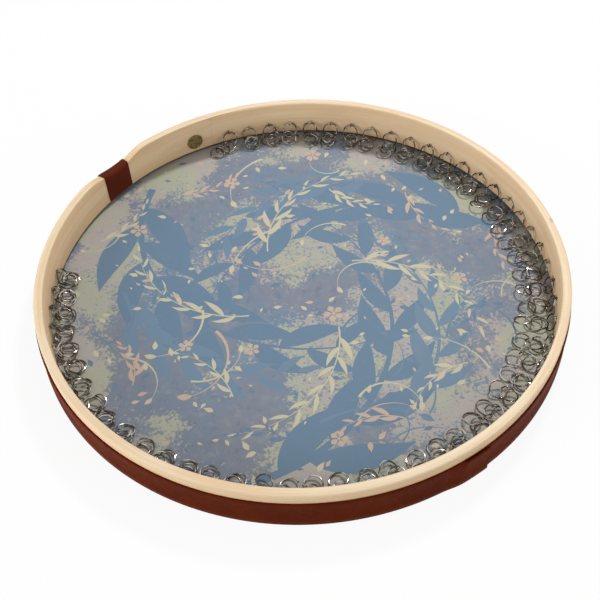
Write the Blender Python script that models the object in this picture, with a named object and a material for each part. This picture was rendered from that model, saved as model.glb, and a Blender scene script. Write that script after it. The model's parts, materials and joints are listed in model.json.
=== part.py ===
"""Daf: a shallow bent-wood frame drum that lies on its head with its open back up.

Metres, +Z up. The origin is the centre of the head's underside. Angles are in degrees,
counter-clockwise from +X as seen from above.
"""

import math

import bmesh
import bpy
from mathutils import Matrix, Vector

# Driving dimensions of the hoop
HOOP_RADIUS = 0.265
HOOP_WALL = 0.0085
HOOP_HEIGHT = 0.044
RIM_ROUNDING = 0.002
BEARING_EDGE_CHAMFER = 0.0015
BEARING_BEVEL_HEIGHT = 0.003
BEARING_BEVEL_DEPTH = 0.0025
FACETS = 96

# Thumb notch: a scoop in the rim with a steep and a gentle side
NOTCH_ANGLE = 139.8
NOTCH_DEPTH = 0.0085
NOTCH_STEEP_RUN = 0.040
NOTCH_GENTLE_RUN = 0.0615
NOTCH_STEPS = 6

# Head: a film turned up round the outside of the hoop
HEAD_THICKNESS = 0.0006
HEAD_LIP_THICKNESS = 0.0005
HEAD_LIP_HEIGHT = 0.006

# Leather band and its lapped end
BAND_THICKNESS = 0.0016
BAND_FOOT = 0.0006
BAND_BELOW_RIM = 0.0114
LAP_END_ANGLE = 305.4
LAP_LENGTH = 0.028
LAP_RAMP = 0.022

# Leather patch over the notch
WRAP_THICKNESS = 0.0012
WRAP_ANGLE = 141.8
WRAP_WIDTH = 0.038
WRAP_ABOVE_HEAD = 0.004

# Brass badge on the inner wall
BADGE_ANGLE = 117.1
BADGE_DIAMETER = 0.019
BADGE_THICKNESS = 0.0012
BADGE_ABOVE_HEAD = 0.0175
BADGE_RIM = 0.0012
BADGE_GROOVE = 0.0004
BADGE_SIDES = 20

# Wire eyes in the inner wall, spread clockwise from the first to the last
EYE_WIRE = 0.0012
EYE_LOOP_RADIUS = 0.0019
EYE_BITE = 0.0006
EYE_FIRST_ANGLE = 107.5
EYE_ARC = 293.3
EYE_SEGMENTS = 6
CHAIN_COUNT = 53

# Rings of a chain, and how they lie: the first leans, the rest lie on the head
RING_DIAMETER = 0.0184
RING_WIRE = 0.0015
RING_SEGMENTS = 8
RINGS_LYING = 3
LINK_BITE = 0.0006
FIRST_RING_LEAN = 20.0
SECOND_RING_SIDESTEP = 0.0028
SECOND_RING_PITCH = 5.5
ADVANCE_MEAN = 0.0052
ADVANCE_SWING = 0.0042
ADVANCE_ANGLE = 315.0
DRIFT = 0.0045
DRIFT_RATE = 0.3

# Gap between pieces that touch on the real drum, and sides of a round wire
CLEARANCE = 0.0003
WIRE_SIDES = 3

HEAD_TOP = HEAD_THICKNESS
HOOP_FOOT = HEAD_TOP + CLEARANCE
RIM_TOP = HOOP_FOOT + HOOP_HEIGHT
BAND_TOP = RIM_TOP - BAND_BELOW_RIM
HOOP_INNER_RADIUS = HOOP_RADIUS - HOOP_WALL
LIP_INNER_RADIUS = HOOP_RADIUS + CLEARANCE
LIP_OUTER_RADIUS = LIP_INNER_RADIUS + HEAD_LIP_THICKNESS
BAND_INNER_RADIUS = LIP_OUTER_RADIUS + CLEARANCE
RING_RADIUS = (RING_DIAMETER - RING_WIRE) / 2
CONTACT = RING_WIRE - LINK_BITE
WIRE_FLOOR = HEAD_TOP + CLEARANCE + RING_WIRE / 2
LEAN = math.radians(FIRST_RING_LEAN)
EYE_HEIGHT = WIRE_FLOOR + 2 * RING_RADIUS * math.cos(LEAN)
EYE_RADIUS = HOOP_INNER_RADIUS - (EYE_LOOP_RADIUS + EYE_WIRE / 2 - EYE_BITE)


def material(name, colour, roughness, metallic=0.0):
    made = bpy.data.materials.new(name)
    made.use_nodes = True
    shader = made.node_tree.nodes["Principled BSDF"]
    shader.inputs["Base Color"].default_value = (*colour, 1.0)
    shader.inputs["Roughness"].default_value = roughness
    shader.inputs["Metallic"].default_value = metallic
    made.diffuse_color = (*colour, 1.0)
    return made


def finished_mesh(name, bm):
    """The mesh of bm with its faces pointing out, smooth but for its real edges."""
    bmesh.ops.recalc_face_normals(bm, faces=bm.faces)
    mesh = bpy.data.meshes.new(name)
    bm.to_mesh(mesh)
    bm.free()
    mesh.shade_smooth()
    mesh.set_sharp_from_angle(angle=math.radians(50))
    return mesh


def add_loft(bm, sections, closed):
    """Faces from each section to the next. An open loft gets a cap at each end."""
    rows = [[bm.verts.new(point) for point in section] for section in sections]
    following = rows[1:] + rows[:1] if closed else rows[1:]
    for row, after in zip(rows, following):
        for i in range(len(row)):
            bm.faces.new((row[i - 1], row[i], after[i], after[i - 1]))
    if not closed:
        bm.faces.new(rows[0])
        bm.faces.new(rows[-1])


def loft(name, sections, closed=False):
    bm = bmesh.new()
    add_loft(bm, sections, closed)
    return finished_mesh(name, bm)


def on_hoop(radius, angle, height):
    """The point at this radius, angle in radians and height round the drum's axis."""
    return Vector((radius * math.cos(angle), radius * math.sin(angle), height))


def circle(radius, height, sides):
    return [on_hoop(radius, 2 * math.pi * i / sides, height) for i in range(sides)]


def add_wire_ring(bm, place, radius, wire, segments):
    """A closed ring of round wire, in the XY plane of place."""
    sections = []
    for i in range(segments):
        round_ring = 2 * math.pi * i / segments
        section = []
        for j in range(WIRE_SIDES):
            round_wire = 2 * math.pi * j / WIRE_SIDES
            reach = radius + wire / 2 * math.cos(round_wire)
            height = wire / 2 * math.sin(round_wire)
            section.append(place @ on_hoop(reach, round_ring, height))
        sections.append(section)
    add_loft(bm, sections, closed=True)


def joined(first, second):
    """One mesh of two that overlap, with the materials of both."""
    base = bpy.data.objects.new("join_base", first)
    tool = bpy.data.objects.new("join_tool", second)
    for piece in (base, tool):
        bpy.context.scene.collection.objects.link(piece)
    union = base.modifiers.new("union", "BOOLEAN")
    union.operation = "UNION"
    union.object = tool
    union.material_mode = "TRANSFER"
    graph = bpy.context.evaluated_depsgraph_get()
    mesh = bpy.data.meshes.new_from_object(base.evaluated_get(graph))
    for piece in (base, tool):
        bpy.data.objects.remove(piece)
    return mesh


def place_piece(name, mesh, finish=None, location=(0, 0, 0), rotation=(0, 0, 0)):
    piece = bpy.data.objects.new(name, mesh)
    if finish:
        mesh.materials.append(finish)
    piece.location = location
    piece.rotation_euler = rotation
    piece.parent = drum
    bpy.context.scene.collection.objects.link(piece)
    return piece


def notch_fall(angle):
    """How far the rim drops at this angle, in radians, for the thumb notch."""
    offset = (angle - math.radians(NOTCH_ANGLE)) * HOOP_RADIUS
    run = NOTCH_GENTLE_RUN if offset > 0 else NOTCH_STEEP_RUN
    if abs(offset) >= run:
        return 0.0
    return NOTCH_DEPTH * math.cos(math.pi / 2 * offset / run) ** 2


def wrap_limits():
    half = WRAP_WIDTH / 2 / HOOP_RADIUS
    middle = math.radians(WRAP_ANGLE)
    return middle - half, middle + half


def hoop_stations():
    """Angles of the hoop's sections: even facets, finer across the notch and at the wrap's edges."""
    centre = math.radians(NOTCH_ANGLE)
    angles = {2 * math.pi * i / FACETS for i in range(FACETS)}
    for step in range(NOTCH_STEPS):
        angles.add(centre - NOTCH_STEEP_RUN / HOOP_RADIUS * step / NOTCH_STEPS)
        angles.add(centre + NOTCH_GENTLE_RUN / HOOP_RADIUS * step / NOTCH_STEPS)
    angles.update(wrap_limits())
    return sorted(angles)


def rim_outline(rim_top, offset):
    """(radius, height) points over the rim, from its outer to its inner face, this far off it."""
    centre_height = rim_top - RIM_ROUNDING
    reach = RIM_ROUNDING + offset
    points = []
    for centre, first in ((HOOP_RADIUS - RIM_ROUNDING, 0), (HOOP_INNER_RADIUS + RIM_ROUNDING, 90)):
        for turn in (0, 45, 90):
            angle = math.radians(first + turn)
            points.append((centre + reach * math.cos(angle), centre_height + reach * math.sin(angle)))
    return points


def wooden_hoop():
    foot = [
        (HOOP_INNER_RADIUS, HOOP_FOOT + BEARING_BEVEL_HEIGHT),
        (HOOP_INNER_RADIUS + BEARING_BEVEL_DEPTH, HOOP_FOOT),
        (HOOP_RADIUS - BEARING_EDGE_CHAMFER, HOOP_FOOT),
        (HOOP_RADIUS, HOOP_FOOT + BEARING_EDGE_CHAMFER),
    ]
    sections = []
    for angle in hoop_stations():
        outline = foot + rim_outline(RIM_TOP - notch_fall(angle), 0)
        sections.append([on_hoop(radius, angle, height) for radius, height in outline])
    mesh = loft("hoop", sections, closed=True)
    mesh.materials.append(wood)
    return mesh


def drum_head():
    corner = BEARING_EDGE_CHAMFER + CLEARANCE
    lip_top = HOOP_FOOT + HEAD_LIP_HEIGHT
    profile = [
        (LIP_OUTER_RADIUS - corner, 0),
        (LIP_OUTER_RADIUS, corner),
        (LIP_OUTER_RADIUS, lip_top),
        (LIP_INNER_RADIUS, lip_top),
        (LIP_INNER_RADIUS, HEAD_TOP + corner),
        (LIP_INNER_RADIUS - corner, HEAD_TOP),
    ]
    return loft("head", [circle(radius, height, FACETS) for radius, height in profile])


def leather_band():
    """A strip that starts under its own lapped end and rises over its start."""
    end = math.radians(LAP_END_ANGLE) + 2 * math.pi
    start = end - 2 * math.pi - LAP_LENGTH / HOOP_RADIUS
    level = start + 2 * math.pi
    ramp_start = level - LAP_RAMP / HOOP_RADIUS
    facet = 2 * math.pi / FACETS
    angles = {start, start + LAP_LENGTH / HOOP_RADIUS, ramp_start, level, end}
    angles.update(facet * i for i in range(math.ceil(start / facet), math.ceil(end / facet)))
    sections = []
    for angle in sorted(angles):
        share = min(max((angle - ramp_start) / (level - ramp_start), 0), 1)
        inner = BAND_INNER_RADIUS + share * (BAND_THICKNESS + CLEARANCE)
        outer = inner + BAND_THICKNESS
        corners = ((inner, BAND_FOOT), (outer, BAND_FOOT), (outer, BAND_TOP), (inner, BAND_TOP))
        sections.append([on_hoop(radius, angle, height) for radius, height in corners])
    return loft("band", sections)


def thumb_wrap():
    first, last = wrap_limits()
    near = CLEARANCE
    far = CLEARANCE + WRAP_THICKNESS
    outer_edge = BAND_TOP + CLEARANCE
    inner_edge = HEAD_TOP + WRAP_ABOVE_HEAD
    sections = []
    for angle in hoop_stations():
        if not first <= angle <= last:
            continue
        rim_top = RIM_TOP - notch_fall(angle)
        outline = [(HOOP_RADIUS + far, outer_edge)]
        outline += rim_outline(rim_top, far)
        outline += [(HOOP_INNER_RADIUS - far, inner_edge), (HOOP_INNER_RADIUS - near, inner_edge)]
        outline += rim_outline(rim_top, near)[::-1]
        outline += [(HOOP_RADIUS + near, outer_edge)]
        sections.append([on_hoop(radius, angle, height) for radius, height in outline])
    return loft("wrap", sections)


def brass_badge():
    """A coined disc with a raised rim, a groove inside it and a low dome. Its face is +Z."""
    radius = BADGE_DIAMETER / 2
    field = radius - 2 * BADGE_RIM
    profile = [
        (radius, 0),
        (radius, BADGE_THICKNESS - BADGE_GROOVE),
        (radius - BADGE_GROOVE, BADGE_THICKNESS),
        (radius - BADGE_RIM, BADGE_THICKNESS),
        (field, BADGE_THICKNESS - BADGE_GROOVE),
        (field / 2, BADGE_THICKNESS - BADGE_GROOVE / 4),
    ]
    return loft("badge", [circle(reach, height, BADGE_SIDES) for reach, height in profile])


def badge_place():
    """Where the flat back of the badge clears the hollow wall at its edges."""
    angle = math.radians(BADGE_ANGLE)
    half = BADGE_DIAMETER / 2
    facet_inset = HOOP_INNER_RADIUS * (1 - math.cos(math.pi / FACETS))
    seat = math.sqrt(HOOP_INNER_RADIUS**2 - half**2) - facet_inset - CLEARANCE
    location = on_hoop(seat, angle, HEAD_TOP + BADGE_ABOVE_HEAD)
    return location, (0, -math.pi / 2, angle)


def chain_angles():
    """Eye angles in radians: as many as asked for, or as fit with room to swing."""
    reach = RING_DIAMETER + RINGS_LYING * (ADVANCE_MEAN + ADVANCE_SWING)
    room = RING_DIAMETER + DRIFT * DRIFT_RATE + 2 * CLEARANCE
    least_pitch = room * EYE_RADIUS / (EYE_RADIUS - reach)
    arc = math.radians(EYE_ARC)
    count = min(CHAIN_COUNT, int(arc * EYE_RADIUS / least_pitch) + 1)
    first = math.radians(EYE_FIRST_ANGLE)
    return [first - arc * i / (count - 1) for i in range(count)]


def wire_eyes():
    bm = bmesh.new()
    for angle in chain_angles():
        place = Matrix.Translation(on_hoop(EYE_RADIUS, angle, EYE_HEIGHT))
        place @= Matrix.Rotation(angle, 4, "Z") @ Matrix.Rotation(math.pi / 2, 4, "X")
        add_wire_ring(bm, place, EYE_LOOP_RADIUS, EYE_WIRE, EYE_SEGMENTS)
    mesh = finished_mesh("eyes", bm)
    mesh.materials.append(steel)
    return mesh


def ring_places(index, angle):
    """Each ring's place in its chain: origin at the eye, X out through the wall, Y along it."""
    top_of_ring = Matrix.Rotation(LEAN - math.pi / 2, 4, "Y")
    places = [top_of_ring @ Matrix.Translation((-RING_RADIUS, 0, 0))]
    advance = ADVANCE_MEAN + ADVANCE_SWING * math.cos(angle - math.radians(ADVANCE_ANGLE))
    drift = DRIFT / 2 * math.sin(index * DRIFT_RATE)
    step = math.hypot(advance, drift)
    heading = math.pi - math.atan2(drift, advance)
    half_crossing = math.sqrt(RING_RADIUS**2 - step**2 / 4)
    roll = math.asin(CONTACT / 2 / half_crossing)
    piled = 2 * step < RING_DIAMETER
    first_bottom = 2 * RING_RADIUS * math.sin(LEAN)
    first_reach = first_bottom + RING_RADIUS - CONTACT * 2
    for lying in range(RINGS_LYING):
        ring_roll = -roll * (2 if piled else 1) if lying % 2 else roll
        pitch = math.radians(SECOND_RING_PITCH) if lying == 0 else 0
        turn = Matrix.Rotation(heading, 4, "Z") @ Matrix.Rotation(ring_roll, 4, "X")
        turn @= Matrix.Rotation(pitch, 4, "Y")
        low_side = RING_RADIUS * math.sqrt(1 - turn[2][2] ** 2)
        rise = CONTACT * (lying // 2) if piled else 0
        height = WIRE_FLOOR - EYE_HEIGHT + low_side + rise
        centre = (-first_reach - lying * advance, SECOND_RING_SIDESTEP + lying * drift, height)
        places.append(Matrix.Translation(centre) @ turn)
    return places


def ring_chain(index, angle):
    """Four linked rings made one where they touch, because the chain swings as one piece."""
    chain = None
    for place in ring_places(index, angle):
        bm = bmesh.new()
        add_wire_ring(bm, place, RING_RADIUS, RING_WIRE, RING_SEGMENTS)
        ring = finished_mesh("ring", bm)
        chain = joined(chain, ring) if chain else ring
    chain.shade_smooth()
    return chain


for leftover in list(bpy.data.objects):
    bpy.data.objects.remove(leftover)

wood = material("pale_maple", (0.72, 0.55, 0.37), 0.45)
film = material("printed_film", (0.21, 0.26, 0.31), 0.35)
leather = material("oxblood_leather", (0.095, 0.019, 0.010), 0.5)
brass = material("aged_brass", (0.21, 0.16, 0.06), 0.4, 1.0)
steel = material("dark_nickel", (0.20, 0.18, 0.16), 0.25, 1.0)

drum = bpy.data.objects.new("daf", None)
bpy.context.scene.collection.objects.link(drum)

place_piece("wooden_hoop", joined(wooden_hoop(), wire_eyes()))
place_piece("drum_head", drum_head(), film)
place_piece("leather_band", leather_band(), leather)
place_piece("thumb_wrap", thumb_wrap(), leather)
badge_location, badge_rotation = badge_place()
place_piece("brass_badge", brass_badge(), brass, badge_location, badge_rotation)

for chain_index, chain_angle in enumerate(chain_angles()):
    place_piece(
        f"ring_chain_{chain_index + 1:02d}",
        ring_chain(chain_index, chain_angle),
        steel,
        on_hoop(EYE_RADIUS, chain_angle, EYE_HEIGHT),
        (0, 0, chain_angle),
    )
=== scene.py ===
"""The looks of a daf, a shallow frame drum of bent maple that lies on its head, open back up.

Metres, +Z up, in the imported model's frame. Angles run counter-clockwise from +X, from above.
"""

import json
import math
import random

import bpy
import numpy as np
from mathutils import Matrix, Vector
from mathutils.geometry import delaunay_2d_cdt


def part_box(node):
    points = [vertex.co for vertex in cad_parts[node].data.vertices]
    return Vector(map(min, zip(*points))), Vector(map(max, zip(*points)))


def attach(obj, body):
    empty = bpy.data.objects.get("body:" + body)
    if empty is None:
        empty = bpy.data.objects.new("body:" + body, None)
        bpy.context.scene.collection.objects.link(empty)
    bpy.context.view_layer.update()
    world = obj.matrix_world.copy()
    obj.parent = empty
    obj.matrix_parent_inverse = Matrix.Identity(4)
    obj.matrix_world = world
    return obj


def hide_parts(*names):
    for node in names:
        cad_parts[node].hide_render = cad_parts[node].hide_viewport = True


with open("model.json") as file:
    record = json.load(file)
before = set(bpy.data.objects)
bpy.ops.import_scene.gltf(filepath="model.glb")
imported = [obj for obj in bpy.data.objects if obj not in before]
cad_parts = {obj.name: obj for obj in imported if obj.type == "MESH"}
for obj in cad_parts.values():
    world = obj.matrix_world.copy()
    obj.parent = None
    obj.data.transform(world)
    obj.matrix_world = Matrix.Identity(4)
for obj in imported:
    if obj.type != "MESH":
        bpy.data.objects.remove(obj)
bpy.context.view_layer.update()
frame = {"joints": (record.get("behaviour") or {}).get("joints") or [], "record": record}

# Hoop
# One strip of pale maple, bent to a circle and closed with a long glued scarf joint. The rim is
# rounded over and scooped out for the thumb, its top painted paler as painted sheen. The foot is
# bevelled inside, so that the head bears on its outer edge alone, and the bevel is painted dark
# as painted shade.
hoop_low, hoop_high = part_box("wooden_hoop")
HOOP_RADIUS = hoop_high.x
HOOP_FOOT = hoop_low.z
RIM_TOP = hoop_high.z
HOOP_WALL = 0.0085
HOOP_INNER_RADIUS = HOOP_RADIUS - HOOP_WALL
HOOP_STATIONS = 480
RIM_ROUNDING = 0.0014
FOOT_ROUNDING = 0.0015
BEVEL_HEIGHT = 0.003
BEVEL_DEPTH = 0.0025
# Painted shade: the bevel under the foot is painted dark, as the shade in the gap over the head.
FOOT_SHADE_TOP = 0.0044
FOOT_SHADE_FADE = 0.0008
FOOT_SHADE_SHARE = 0.92
ROUNDING_STEPS = 6
SHARP_EDGE = math.radians(40)
NOTCH_ANGLE = math.radians(139.8)
NOTCH_DEPTH = 0.0085
NOTCH_STEEP_RUN = 0.040
NOTCH_GENTLE_RUN = 0.0615
SCARF_ANGLE = math.radians(-30)
SCARF_LENGTH = 0.657
GLUE_ON_RIM = 0.026
GLUE_ON_FACES = 0.0003
GLUE_SHARE = 0.55
GLUE_SPOT_PLACE = 0.1734
GLUE_SPOT_LENGTH = 0.0046
GLUE_SPOT_SPREAD = 0.155
GLUE_SPOT_SHARE = 0.60
RIM_FACE_DEPTH = 0.0030
RIM_SHEEN_SHARE = 0.55
GRAIN_BANDS = (1.6, 55.0, 90.0)
GRAIN_STREAKS = (7.0, 480.0, 620.0)
GRAIN_CLOUDS = (14.0, 40.0, 40.0)
GRAIN_FLECKS = (95.0, 1500.0, 1500.0)
RIM_STREAKS = (9.0, 300.0, 300.0)
GRAIN_DEPTH = 0.00012
# Painted sheen: a paler, greyer wood for the rim's top.
RIM_SHEEN_WOOD = (0.765, 0.675, 0.500)
PALE_WOOD = (0.78, 0.588, 0.376)
WOOD = (0.71, 0.494, 0.293)
DARK_WOOD = (0.58, 0.38, 0.21)
FLECK = (0.42, 0.265, 0.14)
PAINTED_FOOT_SHADE = (0.050, 0.032, 0.020)


def on_hoop(radius, angle, height):
    return Vector((radius * math.cos(angle), radius * math.sin(angle), height))


def notch_fall(angle):
    """How far the rim drops at this angle for the thumb notch."""
    offset = (angle - NOTCH_ANGLE) * HOOP_RADIUS
    run = NOTCH_GENTLE_RUN if offset > 0 else NOTCH_STEEP_RUN
    if abs(offset) >= run:
        return 0.0
    return NOTCH_DEPTH * math.cos(math.pi / 2 * offset / run) ** 2


def round_over(radius, height, reach, first, last):
    """(radius, height) points on an arc about this centre, between two angles in degrees."""
    points = []
    for step in range(ROUNDING_STEPS + 1):
        turn = math.radians(first + (last - first) * step / ROUNDING_STEPS)
        points.append((radius + reach * math.cos(turn), height + reach * math.sin(turn)))
    return points


def rim_outline(angle, offset):
    """(radius, height) points over the rim, from outside to inside, this far off the wood."""
    height = RIM_TOP - notch_fall(angle) - RIM_ROUNDING
    reach = RIM_ROUNDING + offset
    outer = round_over(HOOP_RADIUS - RIM_ROUNDING, height, reach, 0, 90)
    return outer + round_over(HOOP_INNER_RADIUS + RIM_ROUNDING, height, reach, 90, 180)


def hoop_outline(angle):
    bevel_top = (HOOP_INNER_RADIUS, HOOP_FOOT + BEVEL_HEIGHT)
    bevel_foot = (HOOP_INNER_RADIUS + BEVEL_DEPTH, HOOP_FOOT)
    foot = round_over(HOOP_RADIUS - FOOT_ROUNDING, HOOP_FOOT + FOOT_ROUNDING, FOOT_ROUNDING, -90, 0)
    return [bevel_top, bevel_foot, *foot, *rim_outline(angle, 0)]


def skinned(name, strands, closed):
    """A mesh over strands of closed outlines. A strand that isn't closed gets two end caps."""
    points = []
    faces = []
    for rows in strands:
        width = len(rows[0])
        first = len(points)
        last = first + (len(rows) - 1) * width
        points += [point for row in rows for point in row]
        for row in range(len(rows) if closed else len(rows) - 1):
            here = first + row * width
            after = first + (row + 1) % len(rows) * width
            for k in range(width):
                following = (k + 1) % width
                faces.append((here + k, after + k, after + following, here + following))
        if not closed:
            faces.append(tuple(range(first, first + width)))
            faces.append(tuple(reversed(range(last, last + width))))
    mesh = bpy.data.meshes.new(name)
    mesh.from_pydata(points, [], faces)
    mesh.shade_smooth()
    mesh.set_sharp_from_angle(angle=SHARP_EDGE)
    return mesh


def lay_grain(mesh, seam):
    """Gives each face corner its place on the unbent strip: its run, height and radius."""
    board = mesh.attributes.new("board", "FLOAT_VECTOR", "CORNER")
    for face in mesh.polygons:
        spots = [mesh.vertices[corner].co for corner in face.vertices]
        turns = [(math.atan2(spot.y, spot.x) - seam) % math.tau for spot in spots]
        across_seam = max(turns) - min(turns) > math.pi
        for loop, spot, turn in zip(face.loop_indices, spots, turns):
            if across_seam and turn < math.pi:
                turn += math.tau
            board.data[loop].vector = (turn * HOOP_RADIUS, spot.z, spot.xy.length)


def show(name, mesh, finish):
    piece = bpy.data.objects.new(name, mesh)
    mesh.materials.append(finish)
    bpy.context.scene.collection.objects.link(piece)
    return piece


def add_node(tree, kind, inputs, output=0, **settings):
    """A shader node's output. Its inputs are linked to sockets or set to plain values."""
    made = tree.nodes.new("ShaderNode" + kind)
    for name, value in settings.items():
        setattr(made, name, value)
    for name, value in inputs.items():
        if isinstance(value, bpy.types.NodeSocket):
            tree.links.new(value, made.inputs[name])
        else:
            made.inputs[name].default_value = value
    return made.outputs[output]


def new_finish(name):
    """A node material with its tree and its shader."""
    finish = bpy.data.materials.new(name)
    finish.use_nodes = True
    return finish, finish.node_tree, finish.node_tree.nodes["Principled BSDF"]


def stretched(tree, place, scale):
    return add_node(tree, "VectorMath", {0: place, 1: scale}, operation="MULTIPLY")


def noise(tree, place, scale, detail=2.0, roughness=0.5):
    inputs = {"Vector": place, "Scale": scale, "Detail": detail, "Roughness": roughness}
    return add_node(tree, "TexNoise", inputs)


def ranged(tree, value, low, high, start=0.0, end=1.0):
    """The value's place between low and high, eased, as a number from start to end."""
    inputs = {"Value": value, "From Min": low, "From Max": high, "To Min": start, "To Max": end}
    return add_node(tree, "MapRange", inputs, interpolation_type="SMOOTHSTEP")


def maths(tree, operation, first, second):
    return add_node(tree, "Math", {0: first, 1: second}, operation=operation)


def painted(tree, share, under, over):
    """One colour over another. Each is a socket or three numbers."""
    under, over = (c if isinstance(c, bpy.types.NodeSocket) else (*c, 1.0) for c in (under, over))
    return add_node(tree, "Mix", {0: share, 6: under, 7: over}, output=2, data_type="RGBA")


def bumped(tree, shader, height, depth, strength=1.0):
    normal = add_node(tree, "Bump", {"Height": height, "Distance": depth, "Strength": strength})
    tree.links.new(normal, shader.inputs["Normal"])


def maple():
    """Grain along the strip, with the scarf's slanted glue line and a glue spot on the rim."""
    finish, tree, shader = new_finish("bent_maple")
    board = add_node(tree, "Attribute", {}, output="Vector", attribute_name="board")
    parts = tree.nodes.new("ShaderNodeSeparateXYZ")
    tree.links.new(board, parts.inputs[0])
    along, height, radius = parts.outputs
    slant = add_node(
        tree,
        "MapRange",
        {
            "Value": radius,
            "From Min": HOOP_INNER_RADIUS,
            "From Max": HOOP_RADIUS,
            "To Min": SCARF_LENGTH,
            "To Max": 0.0,
        },
    )
    past_joint = maths(tree, "SUBTRACT", along, slant)
    other_end = maths(tree, "LESS_THAN", past_joint, 0.0)
    run = maths(tree, "ADD", along, maths(tree, "MULTIPLY", other_end, math.tau * HOOP_RADIUS))
    grain = add_node(tree, "CombineXYZ", {0: run, 1: height, 2: radius})
    off_joint = maths(tree, "ABSOLUTE", past_joint, 0.0)
    rim_start = RIM_TOP - RIM_FACE_DEPTH
    rim_middle = RIM_TOP - RIM_FACE_DEPTH / 2
    glue_reach = ranged(tree, height, rim_start, rim_middle, GLUE_ON_FACES, GLUE_ON_RIM)
    glue = ranged(tree, off_joint, glue_reach, 0.0, 0.0, GLUE_SHARE)
    off_spot = maths(tree, "ABSOLUTE", maths(tree, "SUBTRACT", along, GLUE_SPOT_PLACE), 0.0)
    spot_length = ranged(tree, off_spot, GLUE_SPOT_LENGTH, GLUE_SPOT_LENGTH / 2)
    spot_width = ranged(tree, off_joint, GLUE_SPOT_SPREAD, GLUE_SPOT_SPREAD / 2)
    spot_depth = ranged(tree, height, rim_start, rim_middle, 0.0, GLUE_SPOT_SHARE)
    spot_face = maths(tree, "MULTIPLY", spot_length, spot_width)
    glue_spot = maths(tree, "MULTIPLY", spot_face, spot_depth)

    bands = noise(tree, stretched(tree, grain, GRAIN_BANDS), 1.0, 3.0)
    streaks = noise(tree, stretched(tree, grain, GRAIN_STREAKS), 1.0, 5.0, 0.62)
    clouds = noise(tree, stretched(tree, grain, GRAIN_CLOUDS), 1.0, 4.0)
    flecks = noise(tree, stretched(tree, grain, GRAIN_FLECKS), 1.0, 2.0)
    worn = noise(tree, stretched(tree, grain, RIM_STREAKS), 1.0, 4.0, 0.6)
    colour = painted(tree, ranged(tree, bands, 0.35, 0.68), WOOD, PALE_WOOD)
    colour = painted(tree, ranged(tree, streaks, 0.50, 0.74, 0.0, 0.55), colour, DARK_WOOD)
    colour = painted(tree, ranged(tree, clouds, 0.52, 0.75, 0.0, 0.35), colour, DARK_WOOD)
    colour = painted(tree, ranged(tree, flecks, 0.66, 0.76, 0.0, 0.5), colour, FLECK)
    # Painted shade: the bevel faces at the foot are painted nearly black, as shade.
    foot_shade_top = HOOP_FOOT + FOOT_SHADE_TOP
    painted_foot_shade = ranged(tree, height, foot_shade_top, foot_shade_top - FOOT_SHADE_FADE, 0.0, FOOT_SHADE_SHARE)
    colour = painted(tree, painted_foot_shade, colour, PAINTED_FOOT_SHADE)
    # Painted sheen: the rim's top is painted paler, as the light it catches.
    painted_rim_sheen = ranged(tree, height, rim_start, RIM_TOP, 0.0, RIM_SHEEN_SHARE)
    colour = painted(tree, painted_rim_sheen, colour, RIM_SHEEN_WOOD)
    on_rim = ranged(tree, height, rim_start, RIM_TOP)
    rim_streaks = maths(tree, "MULTIPLY", ranged(tree, worn, 0.42, 0.62, 0.0, 0.75), on_rim)
    colour = painted(tree, rim_streaks, colour, WOOD)
    colour = painted(tree, maths(tree, "MAXIMUM", glue, glue_spot), colour, FLECK)
    tree.links.new(colour, shader.inputs["Base Color"])
    shader.inputs["Specular IOR Level"].default_value = 0.3
    tree.links.new(ranged(tree, streaks, 0.3, 0.7, 0.44, 0.60), shader.inputs["Roughness"])
    bumped(tree, shader, maths(tree, "SUBTRACT", streaks, flecks), GRAIN_DEPTH)
    return finish


hoop_angles = [math.tau * i / HOOP_STATIONS for i in range(HOOP_STATIONS)]
hoop_rows = [[on_hoop(r, angle, z) for r, z in hoop_outline(angle)] for angle in hoop_angles]
hoop_mesh = skinned("maple_hoop", [hoop_rows], closed=True)
lay_grain(hoop_mesh, SCARF_ANGLE)
hoop = show("maple_hoop", hoop_mesh, maple())
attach(hoop, "drum")
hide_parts("wooden_hoop")

# Wire eyes
# One small eye for each chain: nickelled wire bent to a loop, with its shank driven into the inner
# wall.
EYE_WIRE = 0.0012
EYE_LOOP_RADIUS = 0.0019
EYE_SHANK = 0.0045
EYE_NECK = 0.0013
EYE_FIRST_TURN = 35
EYE_LAST_TURN = 330
EYE_STEPS = 22
EYE_SIDES = 8
NICKEL = (0.50, 0.475, 0.435)
TARNISH = (0.080, 0.060, 0.042)
TARNISH_SCALE = 150.0
RUB_SCALE = 1800.0
RUB_DEPTH = 0.00002


def wire_rows(path, normal, wire, sides):
    """Round outlines along a flat path whose plane has this normal."""
    rows = []
    for i, point in enumerate(path):
        ahead = path[min(i + 1, len(path) - 1)] - path[max(i - 1, 0)]
        out = ahead.cross(normal).normalized()
        row = []
        for k in range(sides):
            turn = math.tau * k / sides
            row.append(point + wire / 2 * (out * math.cos(turn) + normal * math.sin(turn)))
        rows.append(row)
    return rows


def dark_nickel():
    """Bright plate with brown tarnish in patches and fine rub marks."""
    finish, tree, shader = new_finish("tarnished_nickel")
    place = add_node(tree, "TexCoord", {}, output="Object")
    patches = noise(tree, place, TARNISH_SCALE)
    rubs = noise(tree, place, RUB_SCALE, 3.0)
    colour = painted(tree, ranged(tree, patches, 0.38, 0.56, 0.0, 0.95), NICKEL, TARNISH)
    tree.links.new(colour, shader.inputs["Base Color"])
    shader.inputs["Metallic"].default_value = 1.0
    tree.links.new(ranged(tree, patches, 0.3, 0.7, 0.12, 0.34), shader.inputs["Roughness"])
    bumped(tree, shader, rubs, RUB_DEPTH)
    return finish


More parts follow.
